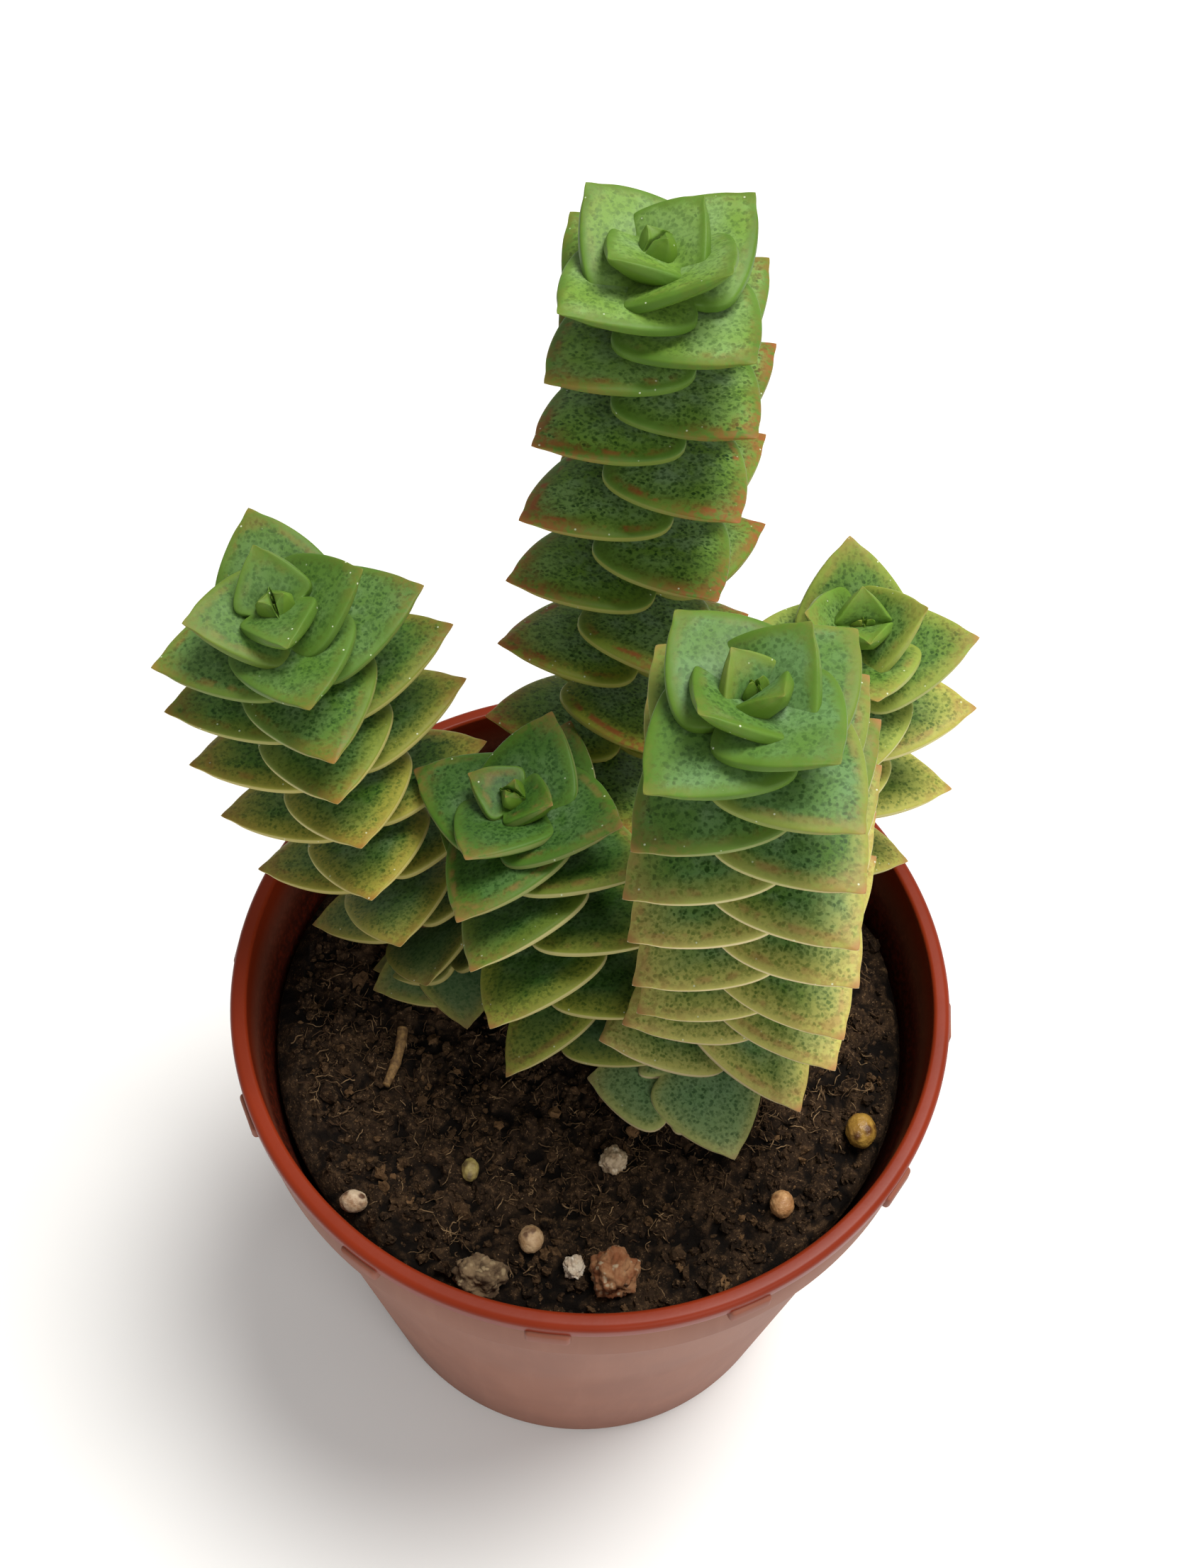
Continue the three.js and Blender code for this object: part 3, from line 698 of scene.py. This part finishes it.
def build_soil(peat):
    """The root ball: the surface, then the sides and the floor just inside the CAD block's."""
    rim = inner_radius(SOIL.level) - GAP - SOIL.inset
    points = []
    for ring in range(1, SOIL_RINGS + 1):
        for step in range(SOIL_AROUND):
            points.append(soil_point(rim * ring / SOIL_RINGS, math.tau * step / SOIL_AROUND))
    wall_top = SOIL.level - SOIL.shoulder
    floor = POT.floor + GAP
    sides = [(inner_radius(wall_top) - 0.9, wall_top + 0.6)]
    sides += [(inner_radius(height) - 2 * GAP, height) for height in (wall_top, 20, floor)] + [(12, floor)]
    for radius, height in sides:
        points += circle(radius, height, SOIL_AROUND)
    points += [(0, 0, soil_height(0, 0)), (0, 0, floor)]
    # the surface's tone is painted shade: below 0 in the hollows between clods, where the peat turns near
    # black
    tone = [min(0.0, 1.1 * clods(x, y) - 0.35) if z > wall_top else 0.0 for x, y, z in points]
    bed = Piece()
    rings = SOIL_RINGS + len(sides)
    bed.add(points, ring_faces(rings, SOIL_AROUND, len(points) - 2, len(points) - 1), tone=tone)
    bed.place("soil_bed", "peat", [peat], "soil")


def lump(radius, seed, roughness, subdivisions):
    """An irregular lump with three radii, as points and faces."""
    ball = bmesh.new()
    bmesh.ops.create_icosphere(ball, subdivisions=subdivisions, radius=1)
    spots, faces = shell_of(ball)
    points = []
    for spot in spots:
        swell = 1 + roughness * noise.fractal(spot * 1.7 + Vector((seed, 0, 0)), 0.8, 2.1, 4)
        points.append(Vector(spot[axis] * radius[axis] * swell for axis in range(3)))
    return points, faces


def bare_ground(x, y):
    """Whether a loose crumb fits here, clear of the stems' feet and the grains."""
    spots = [(stem.foot, FOOT_CLEARANCE) for stem in STEMS.values()]
    spots += [(grain.at, max(grain.size[:2]) / 2 + GRAIN_CLEARANCE) for grain in GRAINS.values()]
    return all(math.hypot(x - at[0], y - at[1]) >= clearance for at, clearance in spots)


def scattered(draws, count, reach):
    """Random places on the soil within reach of the pot's axis."""
    places = []
    while len(places) < count:
        radius = reach * math.sqrt(draws.random())
        angle = draws.uniform(0, math.tau)
        x, y, z = soil_point(radius, angle)
        if bare_ground(x, y):
            places.append((x, y, z))
    return places


def build_crumbs(peat):
    """Loose, angular crumbs of peat on the surface."""
    draws = random.Random(CRUMBS.seed)
    shells = Piece()
    for index, (x, y, z) in enumerate(scattered(draws, CRUMBS.count, CRUMBS.reach)):
        size = draws.lognormvariate(*CRUMBS.size)
        radii = [size * draws.uniform(*CRUMBS.width) for _ in range(3)]
        subdivisions = 2 if size > CRUMBS.finer_from else 1
        points, faces = lump(radii, index * 1.7, CRUMBS.roughness, subdivisions)
        axis = Vector([draws.gauss(0, 1) for _ in range(3)]).normalized()
        turn = Quaternion(axis, draws.uniform(0, 6.28))
        centre = Vector((x, y, z + 0.1 * size))
        lowest, highest = CRUMBS.tone_limits
        tone = max(lowest, min(highest, draws.gauss(*CRUMBS.tone)))
        shells.add([turn @ point + centre for point in points], faces, tone=tone)
    piece = shells.place("soil_crumbs", "peat", [peat])
    piece.data.polygons.foreach_set("use_smooth", [False] * len(piece.data.polygons))


def build_fibres():
    """Fine root fibres in loose tufts on the peat."""
    draws = random.Random(FIBRES.seed)
    shells = Piece()
    last = FIBRES.points - 1
    for tuft_x, tuft_y, _ in scattered(draws, FIBRES.tufts, FIBRES.reach):
        spread = draws.uniform(*FIBRES.spread)
        for _ in range(draws.randint(*FIBRES.number)):
            x, y = draws.gauss(tuft_x, spread), draws.gauss(tuft_y, spread)
            if math.hypot(x, y) > FIBRES.reach + 0.5 or not bare_ground(x, y):
                continue
            heading = draws.uniform(0, math.tau)
            step = draws.uniform(*FIBRES.step)
            radius = draws.uniform(*FIBRES.radius)
            lift = draws.uniform(*FIBRES.lift)
            path = []
            for part in range(FIBRES.points):
                path.append((x, y, soil_height(x, y) + 0.1 + lift * part / last))
                heading += draws.gauss(0, FIBRES.bend)
                x += step * math.cos(heading)
                y += step * math.sin(heading)
            shells.add(*tube(path, [radius] * len(path), 4), tone=draws.random() ** 2)
    shells.place("soil_fibres", "peat", [fibre_material()])


# ---- grains and twig ----

# Light and dark tone, tone of the spots, their size and the roughness.
GRAIN_LOOKS = {
    "clay_grain_front": ("#966c48", "#7a4624", "#a89276", 0.9, 0.85),
    "clay_grain_rim": ("#7c664a", "#4a3622", "#968262", 1.0, 0.9),
    "perlite_large": ("#b4a084", "#8c765a", "#c6b69c", 1.0, 0.85),
    "perlite_small": ("#c8baa6", "#a8927a", "#d8cebe", 1.0, 0.8),
    "feed_grain_right": ("#b28c3e", "#967030", "#603e1e", 2.6, 0.35),
    "feed_grain_front": ("#c49868", "#a47448", "#764e30", 2.4, 0.4),
    "feed_grain_middle": ("#bc9e78", "#9c7a54", "#6c4e36", 1.6, 0.55),
    "feed_grain_left": ("#c6b094", "#967454", "#5c3e2a", 1.4, 0.6),
    "feed_grain_inner": ("#a09054", "#806e3e", "#605030", 1.8, 0.5),
}


def build_grain(name):
    """One grain, about half sunk in the soil."""
    grain = GRAINS[name]
    uneven = 0.06 if name.startswith("feed") else 0.32
    points, faces = lump([width / 2 for width in grain.size], grain.at[0] * 3.1, uneven, 5)
    centre = Vector((*grain.at, SOIL.level + GRAIN_RISE * grain.size[2]))
    piece = Piece()
    piece.add([point + centre for point in points], faces)
    skin = grain_material(name + "_skin", *GRAIN_LOOKS[name])
    piece.place(name + "_fine", name.split("_")[0], [skin], name)


def build_twig():
    """A tapered twig with a slight sway and one knot."""
    start = Vector((*TWIG.start, SOIL.level + TWIG.rise))
    end = Vector((*TWIG.end, SOIL.level + TWIG.rise))
    path = []
    radii = []
    for step in range(TWIG_STEPS + 1):
        share = step / TWIG_STEPS
        sway = Vector((0.35 * math.sin(3.4 * share), 0, 0.12 * math.sin(5 * share)))
        path.append(start.lerp(end, share) + sway)
        knot = 0.16 * math.exp(-((share - 0.62) / 0.06) ** 2)
        uneven = 0.08 * noise.noise(Vector((6 * share, 2, 0)))
        radii.append(TWIG.radius * (0.85 - 0.25 * share + knot + uneven))
    piece = Piece()
    piece.add(*tube(path, radii, 18))
    piece.place("twig_fine", "bark", [bark_material("twig_bark")], "twig")


# ---- leafy stems ----


def draw(seed):
    """A repeatable draw between -1 and 1, the CAD part's own."""
    wave = math.sin(seed * 12.9898) * 43758.5453
    return 2 * (wave - math.floor(wave)) - 1


class Axis:
    """A stem's middle line: a cubic, measured along its length from the foot."""

    STEPS = 200

    def __init__(self, stem):
        self.pulls = [np.array(p, float) for p in (
            (*stem.foot, SOIL.level), stem.foot_pull, stem.crown_pull, stem.crown)]
        spots = [self.at(step / self.STEPS) for step in range(self.STEPS + 1)]
        runs = [np.linalg.norm(b - a) for a, b in zip(spots, spots[1:])]
        self.lengths = np.concatenate([[0], np.cumsum(runs)])
        self.length = float(self.lengths[-1])

    def at(self, t):
        a, b, c, d = self.pulls
        s = 1 - t
        return s ** 3 * a + 3 * s * s * t * b + 3 * s * t * t * c + t ** 3 * d

    def spot(self, share):
        """Point and direction at a share of the length."""
        t = float(np.interp(share * self.length, self.lengths, np.linspace(0, 1, self.STEPS + 1)))
        low, high = max(0, t - 1e-4), min(1, t + 1e-4)
        return Vector(self.at(t)), Vector(self.at(high) - self.at(low)).normalized()


def basal_pair(stem, number, place, turn, reaches, lift):
    """One more pair that rests on the soil beside the foot."""
    return {
        "number": number, "age": 1.0, "centre": Vector(place), "axis": Vector((0, 0, 1)), "heel": 0,
        "reach": max(reaches), "full": stem.reach, "slimming": 1, "turn": turn,
        "leaves": [{"reach": reach, "lift": lift, "bend": 0} for reach in reaches],
    }


def pairs_of(stem, index):
    """The pairs of leaves from the bud down to the foot, as the CAD part places them."""
    axis = Axis(stem)
    pairs = []

    def place(below, number, reach, lift):
        centre, direction = axis.spot(max(0, 1 - below / axis.length))
        seed = 100 * index + number
        turn = stem.turn + 90 * (abs(number) % 2) + stem.twist * below / axis.length
        leaves = [{
            "reach": reach * (1 + JITTER.reach * draw(seed + 0.3 + side)),
            "lift": lift + JITTER.lift * draw(seed + 0.6 + side), "bend": 0,
        } for side in (0, 1)]
        pairs.append({
            "number": number, "below": below, "age": below / axis.length, "centre": centre,
            "axis": direction, "reach": reach, "full": stem.reach, "slimming": 1,
            "turn": turn + JITTER.turn * draw(seed), "leaves": leaves,
        })

    for order, (depth, share, lift) in enumerate(reversed(BUD)):
        place(depth + stem.huddle, order - len(BUD), stem.reach * stem.young * share, lift)
    number = 0
    while True:
        below = stem.first + stem.spacing * number ** stem.widening
        if below > axis.length - STEM.bare_foot:
            break
        grown = 1 - (1 - stem.young) * math.exp(-number / stem.growth)
        aged = 1 - (1 - stem.old) * (below / axis.length) ** 2
        lift = stem.lift + (stem.open_lift - stem.lift) * math.exp(-(number / stem.opening) ** 2)
        huddle = stem.huddle * math.exp(-(number / HUDDLED) ** 2)
        place(below + huddle, number, stem.reach * grown * aged, lift)
        number += 1
    for pair, following in zip(pairs, pairs[1:] + [None]):
        lower = following["below"] if following else pair["below"] + LEAF.heel_sink
        thickness = LEAF.rib_bottom + LEAF.rib_top
        pair["heel"] = max(0, lower - pair["below"] - thickness + LEAF.heel_sink)
    pairs += [basal_pair(stem, 50 + order, *basal) for order, basal in enumerate(stem.basal)]
    return axis, pairs


def to_frame(pair, points):
    """Turns points of a pair's own frame into place."""
    turn = Matrix.Rotation(math.radians(pair["turn"]), 3, "Z")
    stand = Vector((0, 0, 1)).rotation_difference(pair["axis"]).to_matrix()
    return np.asarray(points) @ np.array(stand @ turn).T + np.array(pair["centre"])


def cup_of(pair):
    """How far the margins stand above the middle: young leaves embrace the bud, full ones arch over."""
    size = pair["reach"] / pair["full"]
    return lerp(LEAF.young_cup, LEAF.old_cup, size)


def bulk_of(pair):
    """The smallest blades are thinner in proportion."""
    return min(1, max(LEAF.least_bulk, pair["reach"] / LEAF.bulk_reach))


def half_width(share, pair, waist, waist_length):
    """Half of a blade's width at a share of its reach; the waist is the notch between two blades."""
    size = pair["reach"] / pair["full"]
    broadest = pair["slimming"] * LEAF.half_width * math.sin(size * math.pi / 2) ** LEAF.broadening
    return broadest * (1 - waist * (1 - share) ** waist_length) * (1 - share ** 2) ** LEAF.point


def bent(sign, share, across, up, leaf):
    """Carries a point of the flat pair along the blade's rise."""
    lift = np.radians(leaf["lift"])
    tilt = lift * np.minimum(1, 2 * share)
    outwards = leaf["reach"] * share * np.cos(lift) - np.sin(tilt) * up
    return np.stack([
        sign * np.maximum(outwards, LEAF.seam * share),
        across + leaf["bend"] * share ** 2,
        leaf["reach"] * np.sin(lift) * share ** LEAF.curl + np.cos(tilt) * up,
    ], axis=-1)


def corner_points(pair, leaf, side):
    """The tip and the margin's corners on two rings of one leaf of the CAD solid."""
    sign = -1 if side else 1
    share = np.array([1, *np.repeat(CAD_RINGS, 4)])
    width = half_width(share, pair, LEAF.waist, LEAF.waist_length)
    across = width * np.array([0] + [1, 1, -1, -1] * 2)
    edge = cup_of(pair) + LEAF.edge * np.array([0] + [1, -1] * 4)
    up = (1 - share ** 4) * bulk_of(pair) * edge
    return to_frame(pair, bent(sign, share, across, up, leaf))


def fitted(pair, corners):
    """Finds how the CAD part has swung, raised, shortened or slimmed a crowded pair."""
    best = None
    for slimming in SLIMMINGS:
        slim = {**pair, "slimming": slimming}
        chosen = []
        total = 0
        for side, leaf in enumerate(pair["leaves"]):
            options = []
            for rank, (share, lift, bend) in enumerate(DODGES):
                moved = {"reach": leaf["reach"] * share, "lift": leaf["lift"] + lift}
                moved["bend"] = leaf["bend"] + bend
                spots = corner_points(slim, moved, side)
                misses = [min(MISS.cap, corners.find(spot)[2]) for spot in spots]
                options.append((sum(misses) / len(misses) + MISS.rank * rank, rank, moved))
                if rank == 0 and options[0][0] < MISS.found:
                    break
            option = min(options)
            chosen.append(option[2])
            total += option[0]
        if best is None or total < best[0] - MISS.gain:
            best = (total, {**slim, "leaves": chosen})
        if best[0] < 2 * MISS.found:
            break
    return best[1]


def fine_pair(pair, seed):
    """Points, faces and marks of one smooth pair of leaves with a rounded, thick margin."""
    even = np.linspace(-1, 1, PAIR_RINGS + 1)[1:-1]
    crowding = FINE.crowding
    along = crowding * np.sin(even * np.pi / 2) + (1 - crowding) * even
    angle = 2 * np.pi * (np.arange(PAIR_AROUND) + 0.5) / PAIR_AROUND
    along, angle = np.meshgrid(along, angle, indexing="ij")
    share = np.abs(along)

    # the section: a flat rounded form, thick at the midrib, with its margins raised or lowered
    over = np.sign(np.cos(angle)) * np.abs(np.cos(angle)) ** FINE.roll
    roundness = np.abs(np.sin(angle)) ** FINE.roll
    flat = np.abs(over)
    middle = (cup_of(pair) + FINE.cup) * flat ** 2
    edge = LEAF.edge * FINE.edge
    rib = LEAF.rib_bottom + pair["heel"] * (1 - share) ** 3
    top, bottom = lerp(LEAF.rib_top, edge, flat ** 1.6), lerp(rib, edge, flat ** 0.9)
    face = np.where(np.sin(angle) > 0, top, -bottom)
    plump = 1 + FINE.plump * math.exp(-max(0, pair["number"] + 1) / FINE.plump_pairs)
    up = (1 - share ** 4) * bulk_of(pair) * (middle + plump * face * roundness)

    # the outline, pinched behind the point, and a slight unevenness of each blade
    behind = (share - FINE.beak_at) / FINE.beak_length
    width = half_width(share, pair, FINE.waist, FINE.waist_length)
    width = width * (1 - FINE.beak * np.exp(-behind ** 2))
    across = width * over
    wave = np.array([[noise.noise(Vector((2.3 * x, 1.5 * y, seed))) for x, y in zip(row_x, row_y)]
                     for row_x, row_y in zip(along, over)])
    size = pair["reach"] / pair["full"]
    up = up + FINE.wave * size * wave * share ** 0.5 * (1 - share ** 6)
    across = across * (1 + FINE.ripple * wave)

    points = np.zeros((*along.shape, 3))
    tips = []
    for side, sign, leaf in zip((1, 0), (-1, 1), reversed(pair["leaves"])):
        here = (along < 0) if side else (along >= 0)
        points[here] = bent(sign, share[here], across[here], up[here], leaf)
        tips.append(bent(sign, np.array(1.0), np.array(0.0), np.array(0.0), leaf))
    placed = to_frame(pair, np.vstack([points.reshape(-1, 3), tips]))

    def with_tips(values, tip_values):
        return np.concatenate([values.reshape(-1), tip_values])

    chances = [random.Random(seed * 2 + side).random() for side in (0, 1)]
    marks = {
        "margin": with_tips(margin_distance(pair, along, across), [0, 0]),
        "along": with_tips(share, [1, 1]),
        "age": pair["age"],
        "chance": with_tips(np.where(along < 0, chances[1], chances[0]), chances[::-1]),
        "top": with_tips(np.sin(angle), [0, 0]),
        "side": with_tips(np.sign(np.sin(angle)) * roundness, [0, 0]),
    }
    return placed, ring_faces(PAIR_RINGS - 1, PAIR_AROUND, len(placed) - 2, len(placed) - 1), marks


def margin_distance(pair, along, across):
    """How far each point of a flat pair lies from the pair's outline, in millimetres."""
    outline_x = np.linspace(-1, 1, 241)
    outline_y = half_width(np.abs(outline_x), pair, FINE.waist, FINE.waist_length)
    outline = np.stack([outline_x * pair["reach"], outline_y], axis=-1)
    spots = np.stack([along * pair["reach"], np.abs(across)], axis=-1)
    return distance_to(outline, spots.reshape(-1, 2))


def distance_to(line, spots):
    """Distance of each spot from a polyline."""
    start, run = line[:-1], np.diff(line, axis=0)
    offset = spots[:, None, :] - start[None]
    share = np.clip((offset * run).sum(-1) / np.maximum((run ** 2).sum(-1), 1e-9), 0, 1)
    return np.linalg.norm(offset - share[..., None] * run, axis=-1).min(axis=1)


def build_stem(name, index, bark):
    """One leafy stem: its pairs of leaves and the stalk that carries them."""
    stem = STEMS[name]
    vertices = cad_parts[name].data.vertices
    corners = kdtree.KDTree(len(vertices))
    for number, vertex in enumerate(vertices):
        corners.insert(vertex.co / MM, number)
    corners.balance()
    axis, pairs = pairs_of(stem, index)
    shells = Piece()
    for pair in pairs:
        pair = fitted(pair, corners)
        points, faces, marks = fine_pair(pair, 100 * index + pair["number"] + 7)
        shells.add(points, faces, **marks)
    stalk_end = 1 - (stem.huddle + 2) / axis.length
    steps = [step / STALK_STEPS for step in range(STALK_STEPS + 1)]
    path = [Vector((*stem.foot, SOIL.level - STEM.root_depth))]
    path += [axis.spot(stalk_end * step)[0] for step in steps]
    radii = [STEM.radius] + [STEM.radius * (1 - 0.55 * step) for step in steps]
    shells.add(*tube(path, radii, 20), face_slot=1)
    skin = leaf_material(name + "_skin", Values(**(COMMON_LOOK | LOOKS[name])))
    shells.place(name + "_leaves", "leaf", [skin, bark], name)


# ---- studio ----


def build_floor():
    """A pale ground under the pot, which belongs to the stage."""
    half, steps = FLOOR.half, FLOOR.steps
    places = [lerp(-half, half, step / steps) for step in range(steps + 1)]
    points = [(x, y, FLOOR.height) for x in places for y in places]
    row = steps + 1
    corners = [i * row + j for i in range(steps) for j in range(steps)]
    faces = [(corner, corner + row, corner + row + 1, corner + 1) for corner in corners]
    floor = loose_object("floor", points, faces)
    s = Shader("pale_floor")
    colour = s.mix(s.span(s.noise(60, 2), 0.3, 0.7), (0.86, 0.86, 0.855, 1), (0.89, 0.89, 0.885, 1))
    floor.data.materials.append(s.finish(colour, 0.9, Specular_IOR_Level=0.1))


def build_light(name, place, size, power, colour):
    """A round lamp that faces the plant."""
    light = bpy.data.lights.new(name, "AREA")
    light.shape = "DISK"
    light.size = size
    light.energy = power
    light.color = colour
    lamp = linked(name, light)
    lamp.location = place
    lamp.rotation_euler = (Vector(place) - Vector(LIGHT_TARGET)).to_track_quat("Z", "Y").to_euler()


def build_studio():
    build_floor()
    for name, light in LIGHTS.items():
        build_light(name, *light)
    world = bpy.data.worlds.new("studio_air")
    world.use_nodes = True
    background = world.node_tree.nodes["Background"]
    background.inputs["Color"].default_value = AIR.colour
    background.inputs["Strength"].default_value = AIR.strength
    bpy.context.scene.world = world
    bpy.context.scene.view_settings.view_transform = "Standard"


def build_camera():
    """The photograph's camera, solved from the pot's rim and base."""
    down, heading, roll = map(math.radians, (CAMERA.down, CAMERA.heading, CAMERA.roll))
    level_share = math.cos(down)
    forward = Vector((math.sin(heading) * level_share, math.cos(heading) * level_share, -math.sin(down)))
    level = forward.cross(Vector((0, 0, 1))).normalized()
    upright = level.cross(forward)
    right = math.cos(roll) * level + math.sin(roll) * upright
    up = math.cos(roll) * upright - math.sin(roll) * level
    data = bpy.data.cameras.new("camera")
    data.sensor_width = SENSOR
    data.lens = SENSOR * FOCAL_PIXELS / FRAME_HEIGHT
    data.clip_start = 0.01
    camera = linked("camera", data)
    rotation = Matrix((right, up, -forward)).transposed()
    camera.matrix_world = Matrix.Translation(Vector(CAMERA.place) * MM) @ rotation.to_4x4()
    bpy.context.scene.camera = camera


build_studio()
build_camera()
build_pot()
damp_peat = peat_material()
build_soil(damp_peat)
build_crumbs(damp_peat)
build_fibres()
for grain_name in GRAINS:
    build_grain(grain_name)
build_twig()
stem_bark = bark_material("stem_bark")
for stem_index, stem_name in enumerate(STEMS):
    build_stem(stem_name, stem_index, stem_bark)
